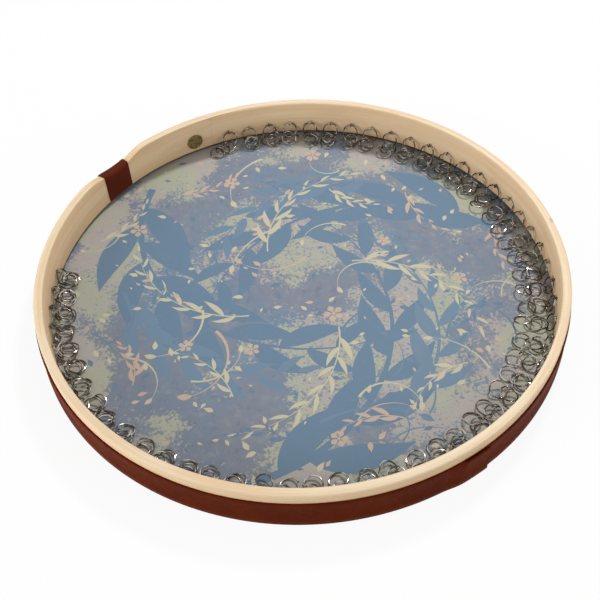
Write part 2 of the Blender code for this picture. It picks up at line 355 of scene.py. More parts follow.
nickel = dark_nickel()
eye_path = [Vector((EYE_LOOP_RADIUS + reach, 0, 0)) for reach in (EYE_SHANK, EYE_NECK)]
for step in range(EYE_STEPS + 1):
    turn = math.radians(EYE_FIRST_TURN + (EYE_LAST_TURN - EYE_FIRST_TURN) * step / EYE_STEPS)
    eye_path.append(EYE_LOOP_RADIUS * Vector((math.cos(turn), 0, math.sin(turn))))
eye_places = []
for joint in frame["joints"]:
    eye = Vector(joint["pos_m"])
    eye_places.append(Matrix.Translation(eye) @ Matrix.Rotation(math.atan2(eye.y, eye.x), 4, "Z"))
eye_strands = []
for place in eye_places:
    path = [place @ point for point in eye_path]
    normal = place.to_3x3() @ Vector((0, 1, 0))
    eye_strands.append(wire_rows(path, normal, EYE_WIRE, EYE_SIDES))
eyes = show("wire_eyes", skinned("wire_eyes", eye_strands, closed=False), nickel)
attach(eyes, "drum")

# Head
# A sheet of printed film, pulled tight over the foot of the hoop and turned up round the outside,
# where the band covers its edge. The print is a speckled wash of blues under sprays of leaves and
# loose petals, whose outlines cut the sheet into faces of one ink each.
_, head_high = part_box("drum_head")
HEAD_TOP = 0.0006
LIP_THICKNESS = 0.0005
LIP_OUTER_RADIUS = head_high.x
LIP_INNER_RADIUS = LIP_OUTER_RADIUS - LIP_THICKNESS
LIP_TOP = head_high.z
HEAD_CORNER = 0.0018
SHEET_RADIUS = LIP_INNER_RADIUS - HEAD_CORNER
SHEET_SIDES = 288
PRINT_RADIUS = 0.2605
MERGE_DISTANCE = 1e-7
LEAST_BEND = 1e-4
LEAST_SWELL = 0.02
STEM_TAPER = 0.85
STEM_SHARE = 0.28
FIRST_LEAF = 0.08
FIRST_LEAF_SIZE = 1.05
LEAF_SHRINK = 0.55
LEAF_PLAY = (0.85, 1.15)
LEAF_TILT = (0.55, 0.85)
LEAF_CURL = (0.35, 0.75)
BROAD_SPRAYS = 3
BROAD_SPRAY = dict(length=0.40, bend=2.1, leaf_length=0.105, leaf_width=0.030, leaves=13)
BROAD_FIRST = 255
BROAD_ROOT = 0.235
BROAD_LEAD = 2.05
SLIM_SPRAY = dict(length=0.23, bend=1.5, leaf_length=0.060, leaf_width=0.016, leaves=11)
SLIM_ASIDE = 0.75
SLIM_ROOT = 0.185
SLIM_LEAD = 2.6
FINE_SPRAYS = 4
FINE_SPRAY = dict(length=0.17, bend=-1.5, leaf_length=0.028, leaf_width=0.0058, leaves=13)
FINE_FIRST = 32
FINE_ROOT = 0.065
FINE_LEAD = -0.5
SPRIGS = 13
SPRIG = dict(bend=1.0, leaf_length=0.019, leaf_width=0.0048, leaves=7)
SPRIG_FIRST = 48
SPRIG_PITCH = 27.7
SPRIG_ROOT = (0.13, 0.235)
SPRIG_LEAD = 3.9
SPRIG_LENGTH = (0.05, 0.09)
TENDRILS = 40
TENDRIL_REACH = 0.235
TENDRIL_LEAD = (1.5, 2.6)
TENDRIL_BEND = (0.9, 2.4)
TENDRIL_LENGTH = (0.035, 0.11)
TENDRIL_WIDTH = 0.035
BUD_LENGTH = 0.16
BUD_WIDTH = 0.075
BUD_BEND = 0.3
BLOSSOMS = 9
BLOSSOM_ROOT = (0.04, 0.22)
BLOSSOM_PLAY = (-0.2, 0.2)
BLOSSOM_SIZE = (0.007, 0.010)
BLOSSOM_PETALS = 5
PETAL_ROOT = 0.1
PETAL_WIDTH = 0.72
HEART_LENGTH = 0.32
HEART_WIDTH = 0.3
LOOSE_PETALS = 240
LOOSE_REACH = 0.25
LOOSE_LENGTH = (0.004, 0.012)
LOOSE_WIDTH = 0.45
LOOSE_BEND = (-0.8, 0.8)
WASH_EDGE = 0.17
WASH_DRIFT = 14.0
WASH_DRIFT_REACH = (0.05, 0.05, 0.0)
WASH_ZONES = 9.0
WASH_CLOUDS = 10.5
WASH_MOTTLE = 85.0
WASH_GRAINS = 300.0
WASH_WARMTH = 15.0
FILM_DEPTH = 0.00002
SLATE_INK = (0.130, 0.205, 0.290)
STEEL_INK = (0.150, 0.228, 0.312)
CREAM_INK = (0.52, 0.48, 0.34)
PINK_INK = (0.50, 0.38, 0.30)
LAVENDER_WASH = (0.200, 0.222, 0.272)
GREY_WASH = (0.185, 0.222, 0.285)
STEEL_WASH = (0.155, 0.225, 0.305)
SAGE_SPECK = (0.400, 0.405, 0.310)
ROSE_SPECK = (0.41, 0.375, 0.34)
DEEP_SPECK = (0.115, 0.145, 0.200)

print_dice = random.Random(11)


def along_arc(root, heading, length, bend, share):
    """The point this share along an arc that turns by bend in all, and the heading there."""
    turn = heading + bend * share
    if abs(bend) < LEAST_BEND:
        return root + length * share * Vector((math.cos(heading), math.sin(heading))), turn
    radius = length / bend
    step = Vector((math.sin(turn) - math.sin(heading), math.cos(heading) - math.cos(turn)))
    return root + radius * step, turn


def strip_outline(root, heading, length, bend, half_widths):
    """The outline of a strip along an arc, from its half widths at even steps."""
    left = []
    right = []
    for i, half in enumerate(half_widths):
        point, turn = along_arc(root, heading, length, bend, i / (len(half_widths) - 1))
        side = half * Vector((-math.sin(turn), math.cos(turn)))
        left.append(point + side)
        right.append(point - side)
    return right + left[::-1]


def leaf(root, heading, length, width, bend, fullest=0.42, steps=14):
    """A leaf or petal, widest at this share of its length and pointed at its tip."""
    power = math.log(0.5) / math.log(fullest)
    swell = [math.sin(math.pi * (i / steps) ** power) for i in range(steps + 1)]
    half_widths = [width / 2 * max(share, LEAST_SWELL) for share in swell]
    return strip_outline(root, heading, length, bend, half_widths)


def stem(root, heading, length, bend, width, steps=26):
    half_widths = [width / 2 * (1 - STEM_TAPER * i / steps) for i in range(steps + 1)]
    return strip_outline(root, heading, length, bend, half_widths)


def spray(root, heading, ink, length, bend, leaf_length, leaf_width, leaves):
    """A bent stem with leaves that alternate along it and shrink towards its tip."""
    drawn = [(stem(root, heading, length, bend, leaf_width * STEM_SHARE), ink)]
    for i in range(leaves + 1):
        share = FIRST_LEAF + (1 - FIRST_LEAF) * i / leaves
        point, turn = along_arc(root, heading, length, bend, share)
        size = (FIRST_LEAF_SIZE - LEAF_SHRINK * share) * print_dice.uniform(*LEAF_PLAY)
        side = 0 if i == leaves else (-1) ** i
        tilt = side * print_dice.uniform(*LEAF_TILT)
        curl = -side * print_dice.uniform(*LEAF_CURL)
        drawn.append((leaf(point, turn + tilt, leaf_length * size, leaf_width * size, curl), ink))
    return drawn


def tendril(root, length, ink):
    """A thin curl that follows the swirl of the sprays, with a bud at its tip."""
    heading = math.atan2(root.y, root.x) + print_dice.uniform(*TENDRIL_LEAD)
    bend = print_dice.choice((-1, 1)) * print_dice.uniform(*TENDRIL_BEND)
    curl = stem(root, heading, length, bend, length * TENDRIL_WIDTH)
    tip, turn = along_arc(root, heading, length, bend, 1)
    bud_size = (length * BUD_LENGTH, length * BUD_WIDTH)
    bud = leaf(tip, turn, *bud_size, bend * BUD_BEND, fullest=0.5, steps=10)
    return [(curl, ink), (bud, ink)]


def blossom(centre, size, ink, heart):
    first = print_dice.uniform(0, math.tau)
    drawn = []
    for i in range(BLOSSOM_PETALS):
        heading = first + math.tau * i / BLOSSOM_PETALS
        root = centre + PETAL_ROOT * size * Vector((math.cos(heading), math.sin(heading)))
        petal = leaf(root, heading, size, size * PETAL_WIDTH, bend=0.2, fullest=0.62)
        drawn.append((petal, ink))
    root = centre - Vector((size * HEART_LENGTH / 2, 0))
    disc = leaf(root, 0, size * HEART_LENGTH, size * HEART_WIDTH, bend=0, fullest=0.5, steps=10)
    drawn.append((disc, heart))
    return drawn


def spot(radius, angle):
    return on_hoop(radius, angle, 0).xy


def anywhere(reach):
    """A spot within this reach of the middle, as likely in one place as in another."""
    return spot(reach * math.sqrt(print_dice.random()), print_dice.uniform(0, math.tau))


def print_drawing():
    """Every inked outline of the print, the lowest first."""
    drawn = []
    for i in range(BROAD_SPRAYS):
        angle = math.radians(BROAD_FIRST + 360 / BROAD_SPRAYS * i)
        drawn += spray(spot(BROAD_ROOT, angle), angle + BROAD_LEAD, SLATE_INK, **BROAD_SPRAY)
        root = spot(SLIM_ROOT, angle + SLIM_ASIDE)
        drawn += spray(root, angle + SLIM_LEAD, STEEL_INK, **SLIM_SPRAY)
    for _ in range(TENDRILS):
        root = anywhere(TENDRIL_REACH)
        ink = print_dice.choice((CREAM_INK, STEEL_INK, PINK_INK, SLATE_INK))
        drawn += tendril(root, print_dice.uniform(*TENDRIL_LENGTH), ink)
    for i in range(FINE_SPRAYS):
        angle = math.radians(FINE_FIRST + 360 / FINE_SPRAYS * i)
        drawn += spray(spot(FINE_ROOT, angle), angle + FINE_LEAD, CREAM_INK, **FINE_SPRAY)
    for i in range(SPRIGS):
        angle = math.radians(SPRIG_FIRST + SPRIG_PITCH * i)
        ink = (PINK_INK, CREAM_INK, SLATE_INK)[i % 3]
        root = spot(print_dice.uniform(*SPRIG_ROOT), angle)
        length = print_dice.uniform(*SPRIG_LENGTH)
        drawn += spray(root, angle + SPRIG_LEAD, ink, length, **SPRIG)
    for i in range(BLOSSOMS):
        radius = print_dice.uniform(*BLOSSOM_ROOT)
        centre = spot(radius, math.tau * i / BLOSSOMS + print_dice.uniform(*BLOSSOM_PLAY))
        drawn += blossom(centre, print_dice.uniform(*BLOSSOM_SIZE), PINK_INK, CREAM_INK)
    for _ in range(LOOSE_PETALS):
        root = anywhere(LOOSE_REACH)
        length = print_dice.uniform(*LOOSE_LENGTH)
        heading = print_dice.uniform(0, math.tau)
        ink = print_dice.choice((CREAM_INK, CREAM_INK, PINK_INK, SLATE_INK))
        bend = print_dice.uniform(*LOOSE_BEND)
        petal = leaf(root, heading, length, length * LOOSE_WIDTH, bend, fullest=0.6, steps=10)
        drawn.append((petal, ink))
    return drawn


def inside_print(outline):
    return all(point.length < PRINT_RADIUS for point in outline)


def head_mesh():
    """The print's faces above and below, joined round the edge by the turned-up lip."""
    drawing = [(outline, ink) for outline, ink in print_drawing() if inside_print(outline)]
    spots = [spot(SHEET_RADIUS, math.tau * i / SHEET_SIDES) for i in range(SHEET_SIDES)]
    outlines = [list(range(SHEET_SIDES))]
    for outline, _ in drawing:
        outlines.append(list(range(len(spots), len(spots) + len(outline))))
        spots += outline
    cut = delaunay_2d_cdt(spots, [], outlines, 1, MERGE_DISTANCE)
    flat, _, faces, origins, _, drawn_in = cut
    edge = {}
    for i, found in enumerate(origins):
        edge.update((origin, i) for origin in found if origin < SHEET_SIDES)

    lip = round_over(LIP_OUTER_RADIUS - HEAD_CORNER, HEAD_CORNER, HEAD_CORNER, -90, 0)
    lip += [(LIP_OUTER_RADIUS, LIP_TOP), (LIP_INNER_RADIUS, LIP_TOP)]
    lip += round_over(SHEET_RADIUS, HEAD_TOP + HEAD_CORNER, HEAD_CORNER, 0, -90)[:-1]
    points = [(x, y, HEAD_TOP) for x, y in flat] + [(x, y, 0.0) for x, y in flat]
    below = [[len(flat) + edge[i] for i in range(SHEET_SIDES)]]
    for radius, height in lip:
        below.append(list(range(len(points), len(points) + SHEET_SIDES)))
        points += [on_hoop(radius, math.tau * i / SHEET_SIDES, height) for i in range(SHEET_SIDES)]
    below.append([edge[i] for i in range(SHEET_SIDES)])
    skin = [tuple(face) for face in faces]
    skin += [tuple(len(flat) + i for i in reversed(face)) for face in faces]
    for row, above in zip(below, below[1:]):
        for i in range(SHEET_SIDES):
            skin.append((row[i - 1], row[i], above[i], above[i - 1]))

    mesh = bpy.data.meshes.new("printed_head")
    mesh.from_pydata(points, [], skin)
    ink = mesh.attributes.new("ink", "FLOAT_COLOR", "CORNER")
    inks = [(0.0, 0.0, 0.0, 0.0), *((*colour, 1.0) for _, colour in drawing)]
    for face in mesh.polygons:
        found = drawn_in[face.index % len(faces)] if face.index < 2 * len(faces) else [0]
        for loop in face.loop_indices:
            ink.data[loop].color = inks[max(found)]
        face.use_smooth = face.index >= 2 * len(faces)
    return mesh


def printed_film():
    """Flat inks over a mottled wash with pale spatter, on satin film."""
    finish, tree, shader = new_finish("printed_film_wash")
    place = add_node(tree, "TexCoord", {}, output="Object")
    swirl = {"Vector": place, "Scale": WASH_DRIFT, "Detail": 4.0}
    drift = add_node(tree, "TexNoise", swirl, output="Color")
    drift = stretched(tree, drift, WASH_DRIFT_REACH)
    brushed = add_node(tree, "VectorMath", {0: place, 1: drift}, operation="ADD")
    zones = noise(tree, brushed, WASH_ZONES, 5.0, 0.6)
    clouds = noise(tree, stretched(tree, brushed, (1.0, 1.0, 40.0)), WASH_CLOUDS, 4.0, 0.55)
    mottle = noise(tree, place, WASH_MOTTLE, 6.0, 0.68)
    grains = noise(tree, place, WASH_GRAINS, 6.0, 0.72)
    warm = noise(tree, place, WASH_WARMTH)

    wash = painted(tree, ranged(tree, zones, 0.40, 0.50), LAVENDER_WASH, GREY_WASH)
    wash = painted(tree, ranged(tree, zones, 0.52, 0.60), wash, STEEL_WASH)
    wash = painted(tree, ranged(tree, mottle, 0.52, 0.70, 0.0, 0.5), wash, DEEP_SPECK)
    wash = painted(tree, ranged(tree, mottle, 0.48, 0.30, 0.0, 0.25), wash, SAGE_SPECK)
    speck = painted(tree, ranged(tree, warm, 0.44, 0.58), SAGE_SPECK, ROSE_SPECK)
    reach = add_node(tree, "VectorMath", {0: place}, output="Value", operation="LENGTH")
    at_edge = ranged(tree, reach, WASH_EDGE, PRINT_RADIUS, 0.0, 0.09)
    density = maths(tree, "ADD", ranged(tree, clouds, 0.38, 0.62, -0.11, 0.09), at_edge)
    coarse = maths(tree, "MULTIPLY", mottle, 0.35)
    spatter = maths(tree, "ADD", coarse, maths(tree, "MULTIPLY", grains, 0.65))
    spattered = ranged(tree, maths(tree, "ADD", spatter, density), 0.50, 0.58, 0.0, 0.9)
    wash = painted(tree, spattered, wash, speck)

    ink = tree.nodes.new("ShaderNodeAttribute")
    ink.attribute_name = "ink"
    dry = ranged(tree, spatter, 0.56, 0.72, 0.97, 0.68)
    cover = maths(tree, "MULTIPLY", ink.outputs["Alpha"], dry)
    tree.links.new(painted(tree, cover, wash, ink.outputs["Color"]), shader.inputs["Base Color"])
    shader.inputs["Specular IOR Level"].default_value = 0.12
    tree.links.new(ranged(tree, mottle, 0.3, 0.7, 0.56, 0.68), shader.inputs["Roughness"])
    bumped(tree, shader, grains, FILM_DEPTH)
    return finish


head = show("printed_head", head_mesh(), printed_film())
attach(head, "drum")
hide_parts("drum_head")

# Leather band
# A strip of smooth oxblood leather, glued round the outside over the turned-up film. Its start is
# pared thin along the top, and its end laps over that start and stands a little off it.
band_low, band_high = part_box("leather_band")
BAND_FOOT = band_low.z
BAND_TOP = band_high.z
BAND_THICKNESS = 0.0016
CLEARANCE = 0.0003
GLUE_GAP = 0.00015
OVER_LIP = LIP_OUTER_RADIUS + CLEARANCE
OVER_WOOD = HOOP_RADIUS + GLUE_GAP
LIP_SHOULDER = 0.0035
LAP_END = math.radians(304.1) + math.tau
LAP_LENGTH = 0.026
LAP_OPEN = 0.0275
LAP_RAMP = 0.022
LAP_RISE = BAND_THICKNESS + CLEARANCE
START_SKIVE = 0.0008
SKIVE_FADE = 0.0052
SPRING_HEIGHT = 0.007
EDGE_ROUNDING = 0.0005
EDGE_PINCH = 0.00035
BAND_START = LAP_END - math.tau - LAP_LENGTH / HOOP_RADIUS
BAND_STATIONS = 1000
LEATHER = (0.106, 0.0165, 0.0040)
LEATHER_DARK = (0.074, 0.0115, 0.0030)
LEATHER_WORN = (0.142, 0.028, 0.008)
HIDE_SHEEN = (1.0, 0.34, 0.16, 1.0)
HIDE_PORES = 850.0
HIDE_CREASES = 340.0
HIDE_CLOUDS = 24.0
HIDE_RUBS = (60.0, 60.0, 260.0)
HIDE_DEPTH = 0.00003


def eased(value, low, high):
    share = min(max((value - low) / (high - low), 0), 1)
    return share * share * (3 - 2 * share)


def band_outline(angle):
    """(radius, height) points round the strip, which lies on the film's lip and on the wood."""
    level = BAND_START + math.tau
    rise = LAP_RISE * eased(angle, level - LAP_RAMP / HOOP_RADIUS, level)
    opened = eased(angle, LAP_END - LAP_OPEN / HOOP_RADIUS, level)
    lap_edge = LAP_END - math.tau
    skive = START_SKIVE * (1 - eased(angle, lap_edge - SKIVE_FADE / HOOP_RADIUS, lap_edge))
    lip_top = LIP_TOP + EDGE_ROUNDING
    shoulder = lip_top + LIP_SHOULDER
    spring = BAND_TOP - SPRING_HEIGHT
    heights = [BAND_FOOT, BAND_FOOT + EDGE_ROUNDING, lip_top, shoulder]
    heights += [spring, BAND_TOP - SPRING_HEIGHT / 2, BAND_TOP - EDGE_ROUNDING, BAND_TOP]
    inner = []
    outer = []
    for height in heights:
        bearing = OVER_LIP + (OVER_WOOD - OVER_LIP) * eased(height, lip_top, shoulder)
        near_top = eased(height, spring, BAND_TOP)
        near = bearing + rise * (1 - (1 - opened) * near_top)
        pinch = EDGE_PINCH if height in (BAND_FOOT, BAND_TOP) else 0.0
        inner.append((near + pinch, height))
        outer.append((near + BAND_THICKNESS - skive * near_top - pinch, height))
    return outer + inner[::-1]


def leather(name, main, dark, worn):
    """Fine pebbled hide, darker in soft clouds and rubbed paler in places."""
    finish, tree, shader = new_finish(name)
    place = add_node(tree, "TexCoord", {}, output="Object")
    cells = {"Vector": place, "Scale": HIDE_PORES}
    pores = add_node(tree, "TexVoronoi", cells, feature="DISTANCE_TO_EDGE")
    creases = noise(tree, place, HIDE_CREASES, 5.0, 0.6)
    clouds = noise(tree, place, HIDE_CLOUDS, 4.0, 0.55)
    rubs = noise(tree, stretched(tree, place, HIDE_RUBS), 1.0, 5.0, 0.65)
    colour = painted(tree, ranged(tree, clouds, 0.38, 0.66, 0.0, 0.7), main, dark)
    colour = painted(tree, ranged(tree, rubs, 0.58, 0.80, 0.0, 0.45), colour, worn)
    colour = painted(tree, ranged(tree, pores, 0.0, 0.12, 0.25, 0.0), colour, dark)
    tree.links.new(colour, shader.inputs["Base Color"])
    shader.inputs["Specular IOR Level"].default_value = 0.025
    shader.inputs["Specular Tint"].default_value = HIDE_SHEEN
    tree.links.new(ranged(tree, creases, 0.3, 0.7, 0.46, 0.64), shader.inputs["Roughness"])
    folds = maths(tree, "MULTIPLY", creases, 0.6)
    grain = maths(tree, "ADD", ranged(tree, pores, 0.0, 0.25), folds)
    bumped(tree, shader, grain, HIDE_DEPTH)
    return finish


band_rows = []
for station in range(BAND_STATIONS + 1):
    angle = BAND_START + (LAP_END - BAND_START) * station / BAND_STATIONS
    band_rows.append([on_hoop(r, angle, z) for r, z in band_outline(angle)])
band_leather = leather("oxblood_band", LEATHER, LEATHER_DARK, LEATHER_WORN)
band = show("leather_strip", skinned("leather_strip", [band_rows], closed=False), band_leather)
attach(band, "drum")
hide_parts("leather_band")

# Thumb wrap
# A patch of the same hide, folded over the rim in the notch and glued down on both faces, so that
# the wood doesn't cut into the thumb that carries the drum.
WRAP_ANGLE = math.radians(141.8)
WRAP_WIDTH = 0.038
WRAP_THICKNESS = 0.0012
WRAP_ABOVE_HEAD = 0.0056
WRAP_STATIONS = 28
WRAP_EDGE_DROP = 0.0004
WRAP_EDGE_POWER = 12
WRAP_COLOUR = (0.108, 0.0205, 0.0095)
WRAP_DARK = (0.075, 0.0145, 0.007)
WRAP_WORN = (0.150, 0.036, 0.017)


def wrap_outline(angle, thickness):
    """(radius, height) points round the folded patch, on its outside first."""
    outer_edge = BAND_TOP + CLEARANCE
    inner_edge = HEAD_TOP + WRAP_ABOVE_HEAD
    outside = CLEARANCE + thickness
    outline = [(HOOP_RADIUS + outside, outer_edge)]
    outline += rim_outline(angle, outside)
    outline += [(HOOP_INNER_RADIUS - reach, inner_edge) for reach in (outside, CLEARANCE)]
    outline += rim_outline(angle, CLEARANCE)[::-1]
    outline += [(HOOP_RADIUS + CLEARANCE, outer_edge)]
    return outline


wrap_rows = []
for station in range(WRAP_STATIONS + 1):
    share = 2 * station / WRAP_STATIONS - 1
    angle = WRAP_ANGLE + share * WRAP_WIDTH / 2 / HOOP_RADIUS
    thinned = WRAP_THICKNESS - WRAP_EDGE_DROP * abs(share) ** WRAP_EDGE_POWER
    wrap_rows.append([on_hoop(r, angle, z) for r, z in wrap_outline(angle, thinned)])
wrap_leather = leather("oxblood_wrap", WRAP_COLOUR, WRAP_DARK, WRAP_WORN)
wrap = show("folded_wrap", skinned("folded_wrap", [wrap_rows], closed=False), wrap_leather)
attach(wrap, "drum")
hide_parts("thumb_wrap")

# Badge
# A coined brass disc with a raised rim, a groove inside it and a low bare dome, glued to the inner
# wall.
BADGE_ANGLE = math.radians(117.1)
BADGE_RADIUS = 0.0095
BADGE_THICKNESS = 0.0012
BADGE_RIM = 0.0012
BADGE_GROOVE = 0.0004
BADGE_SIDES = 96
DOME_REACHES = (0.85, 0.65, 0.45, 0.25, 0.08)
DOME_DROP = 0.25
BADGE_BRASS = (0.40, 0.30, 0.115)
BADGE_PATINA = (0.135, 0.105, 0.042)
PATINA_SCALE = 380.0
TURNED_MARKS = 24000.0
BRASS_DEPTH = 0.00001


def badge_profile():
    """(reach, height) points from the back edge over the rim to the middle of the dome."""
    soft = BADGE_GROOVE / 2
    field = BADGE_RADIUS - 2 * BADGE_RIM
    profile = [(BADGE_RADIUS, 0), (BADGE_RADIUS, BADGE_THICKNESS - soft)]
    profile += [(BADGE_RADIUS - soft, BADGE_THICKNESS), (BADGE_RADIUS - BADGE_RIM, BADGE_THICKNESS)]
    profile += [(BADGE_RADIUS - BADGE_RIM - soft, BADGE_THICKNESS - BADGE_GROOVE)]
    profile += [(field, BADGE_THICKNESS - BADGE_GROOVE)]
    for share in DOME_REACHES:
        drop = DOME_DROP + (1 - DOME_DROP) * share**2
        profile.append((field * share, BADGE_THICKNESS - BADGE_GROOVE * drop))
    return profile


def aged_brass(middle):
    """Olive patina, turned marks round the middle and brighter rubbed places."""
    finish, tree, shader = new_finish("aged_brass_disc")
    place = add_node(tree, "TexCoord", {}, output="Object")
    patches = noise(tree, place, PATINA_SCALE, 5.0, 0.65)
    ends = {0: place, 1: middle}
    reach = add_node(tree, "VectorMath", ends, output="Value", operation="DISTANCE")
    turned = maths(tree, "SINE", maths(tree, "MULTIPLY", reach, TURNED_MARKS), 0.0)
    colour = painted(tree, ranged(tree, patches, 0.38, 0.66), BADGE_BRASS, BADGE_PATINA)
    tree.links.new(colour, shader.inputs["Base Color"])
    shader.inputs["Metallic"].default_value = 0.9
    tree.links.new(ranged(tree, patches, 0.3, 0.7, 0.34, 0.52), shader.inputs["Roughness"])
    bumped(tree, shader, maths(tree, "ADD", turned, patches), BRASS_DEPTH)
    return finish


badge_low, badge_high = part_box("brass_badge")
badge_middle = (badge_low + badge_high) / 2
badge_seat = math.sqrt(HOOP_INNER_RADIUS**2 - BADGE_RADIUS**2) - CLEARANCE
badge_place = Matrix.Translation(on_hoop(badge_seat, BADGE_ANGLE, badge_middle.z))
badge_place @= Matrix.Rotation(BADGE_ANGLE, 4, "Z") @ Matrix.Rotation(-math.pi / 2, 4, "Y")
badge_rows = []
for reach, height in badge_profile():
    row = [on_hoop(reach, -math.tau * i / BADGE_SIDES, height) for i in range(BADGE_SIDES)]
    badge_rows.append([badge_place @ point for point in row])
badge_mesh = skinned("brass_disc", [badge_rows], closed=False)
badge = show("brass_disc", badge_mesh, aged_brass(badge_middle))
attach(badge, "drum")
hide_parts("brass_badge")

# Ring chains
# Four linked rings of nickelled wire hang from each eye. The first leans down to the head. The rest
# lie as flat as the wires under them allow, each through the ring before it and inside its chain's
# sector, apart from the first chain's, which lie off its free side. A hairline parts a ring's ends.
RING_WIRE = 0.0015
RING_RADIUS = 0.00845
RING_STEPS = 36
RING_SIDES = 8
RING_JOINT = 0.00025
WIRE_SPACING = 1.05 * RING_WIRE
WIRE_FLOOR = HEAD_TOP + CLEARANCE + RING_WIRE / 2
LEAN = math.radians(20)
FIRST_RING_TWIST = math.radians(17)
SECOND_RING_NEAR = 0.0032
SECOND_RING_FAR = 0.0066
ADVANCE_MEAN = 0.0078
ADVANCE_SWING = 0.0072
ADVANCE_ANGLE = math.radians(335)
ADVANCE_PLAY = 0.12
FIRST_STEP_SHARE = (0.22, 0.42)
LONGEST_STEP = 0.0125
PLACE_TRIES = 1500
PLACE_ROUNDS = 6
PLACES_KEPT = (4, 3, 1)
PLACE_STRIDE = 5
PLACE_SPREAD = 0.0018
PLACE_PULL = 1.0
SIDEWAYS = 0.0035
END_CHAIN_ASIDE = (0.0035, 0.0100, 0.0165)
MOST_TILT = math.radians(34)
MOST_LIFT = 0.0060
LIFT_POWER = 2.5

chain_dice = np.random.default_rng(5)
round_ring = np.linspace(0, math.tau, 2 * RING_STEPS, endpoint=False)[:, None]
eye_radius = eye_places[0].translation.xy.length
chain_pitch = eye_places[0].translation.xy.angle(eye_places[1].translation.xy)
wall_room = HOOP_INNER_RADIUS - eye_radius - CLEARANCE - WIRE_SPACING / 2


def first_ring():
    """The middle of the ring in the eye, and two arms in its plane. X runs out through the wall."""
    twist = chain_dice.uniform(-1, 1) * FIRST_RING_TWIST
    down = np.array((-math.sin(LEAN), 0.0, -math.cos(LEAN)))
    square = np.array((-math.cos(LEAN), 0.0, math.sin(LEAN)))
    across = math.cos(twist) * np.array((0.0, 1.0, 0.0)) + math.sin(twist) * square
    return RING_RADIUS * down, across, down


def wire_gap(lines, ring):
    """The least distance of each line from a ring's wire, and how often it threads the ring."""
    middle, along, up = ring
    offset = lines - middle
    height = offset @ np.cross(along, up)
    reach = np.linalg.norm(offset, axis=-1)
    flat = np.sqrt(np.maximum(reach**2 - height**2, 0))
    gap = np.hypot(flat - RING_RADIUS, height).min(axis=1)
    crossing = height * np.roll(height, -1, axis=1) < 0
    return gap, (crossing & (reach < RING_RADIUS)).sum(axis=1)


def free_places(rings, step, aside, spread, floor, count):
    """The flattest places found, with their strain, for a ring that threads the last ring alone."""
    target = rings[-1][0][0] - step
    x = target + spread * chain_dice.uniform(-1, 1, PLACE_TRIES)
    y = aside + SIDEWAYS * chain_dice.uniform(-1, 1, PLACE_TRIES)
    way = chain_dice.uniform(0, math.tau, PLACE_TRIES)
    tilt = MOST_TILT * chain_dice.random(PLACE_TRIES)
    lift = MOST_LIFT * chain_dice.random(PLACE_TRIES) ** LIFT_POWER
    rise = RING_RADIUS * np.sin(tilt) + lift
    strain = rise + PLACE_PULL * np.abs(x - target)
    middle = np.stack((x, y, floor + rise), axis=1)
    along = np.stack((np.cos(way), np.sin(way), 0 * way), axis=1)
    level = np.cos(tilt)
    up = np.stack((-np.sin(way) * level, np.cos(way) * level, np.sin(tilt)), axis=1)
    arms = np.cos(round_ring) * along[:, None] + np.sin(round_ring) * up[:, None]
    lines = middle[:, None] + RING_RADIUS * arms
    half_sector = (eye_radius + lines[..., 0]) * math.tan(chain_pitch / 2)
    side_room = half_sector - np.maximum(lines[..., 1] - 2 * aside, -lines[..., 1])
    in_sector = side_room.min(axis=1) > WIRE_SPACING / 2
    off_wall = lines[..., 0].max(axis=1) < wall_room
    free = np.nonzero(in_sector & off_wall)[0]
    for ring in reversed(rings):
        gap, threads = wire_gap(lines[free], ring)
        linked = 1 if ring is rings[-1] else 0
        free = free[(gap > WIRE_SPACING) & (threads % 2 == linked)]
    flattest = free[np.argsort(strain[free])][: PLACE_STRIDE * count : PLACE_STRIDE]
    return [(strain[best], (middle[best], along[best], up[best])) for best in flattest]


def linked_rings(eye, asides):
    """The four rings of a chain, each as its middle and two arms, in the frame of its eye."""
    stretch = math.cos(math.atan2(eye.y, eye.x) - ADVANCE_ANGLE)
    play = 1 + chain_dice.uniform(-1, 1) * ADVANCE_PLAY
    advance = (ADVANCE_MEAN + ADVANCE_SWING * stretch) * play
    first_step = advance * chain_dice.uniform(*FIRST_STEP_SHARE)
    last_step = min(advance - first_step, LONGEST_STEP)
    past_first = SECOND_RING_NEAR + (SECOND_RING_FAR - SECOND_RING_NEAR) * (1 + stretch) / 2
    steps = (RING_RADIUS * math.sin(LEAN) + past_first, first_step, last_step)
    floor = WIRE_FLOOR - eye.z
    first = first_ring()
    for slack in range(1, PLACE_ROUNDS + 1):
        spread = slack * PLACE_SPREAD
        piles = [(0.0, [first])]
        for step, aside, count in zip(steps, asides, PLACES_KEPT):
            grown = []
            for strain, rings in piles:
                places = free_places(rings, step, aside, spread, floor, count)
                grown += [(strain + more, [*rings, ring]) for more, ring in places]
            piles = grown
        if piles:
            return min(piles, key=lambda pile: pile[0])[1]
    raise RuntimeError("a ring found no free place")


def ring_rows(place, ring):
    """Outlines round one ring, from one side of its joint to the other."""
    middle, along, up = (Vector(part) for part in ring)
    first = chain_dice.uniform(0, math.tau)
    gap = RING_JOINT / RING_RADIUS
    path = []
    for step in range(RING_STEPS + 1):
        turn = first + gap / 2 + (math.tau - gap) * step / RING_STEPS
        path.append(place @ (middle + RING_RADIUS * (along * math.cos(turn) + up * math.sin(turn))))
    return wire_rows(path, place.to_3x3() @ along.cross(up), RING_WIRE, RING_SIDES)


for index, (joint, eye_place) in enumerate(zip(frame["joints"], eye_places)):
    body = joint["child"]
    node = frame["record"]["behaviour"]["bodies"][body][0]
    asides = (0.0, 0.0, 0.0) if index else END_CHAIN_ASIDE
    strands = [ring_rows(eye_place, ring) for ring in linked_rings(eye_place.translation, asides)]
    rings_mesh = skinned("linked_rings", strands, closed=False)
    rings = show(f"linked_rings_{index + 1:02d}", rings_mesh, nickel)
    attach(rings, body)
    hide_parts(node)

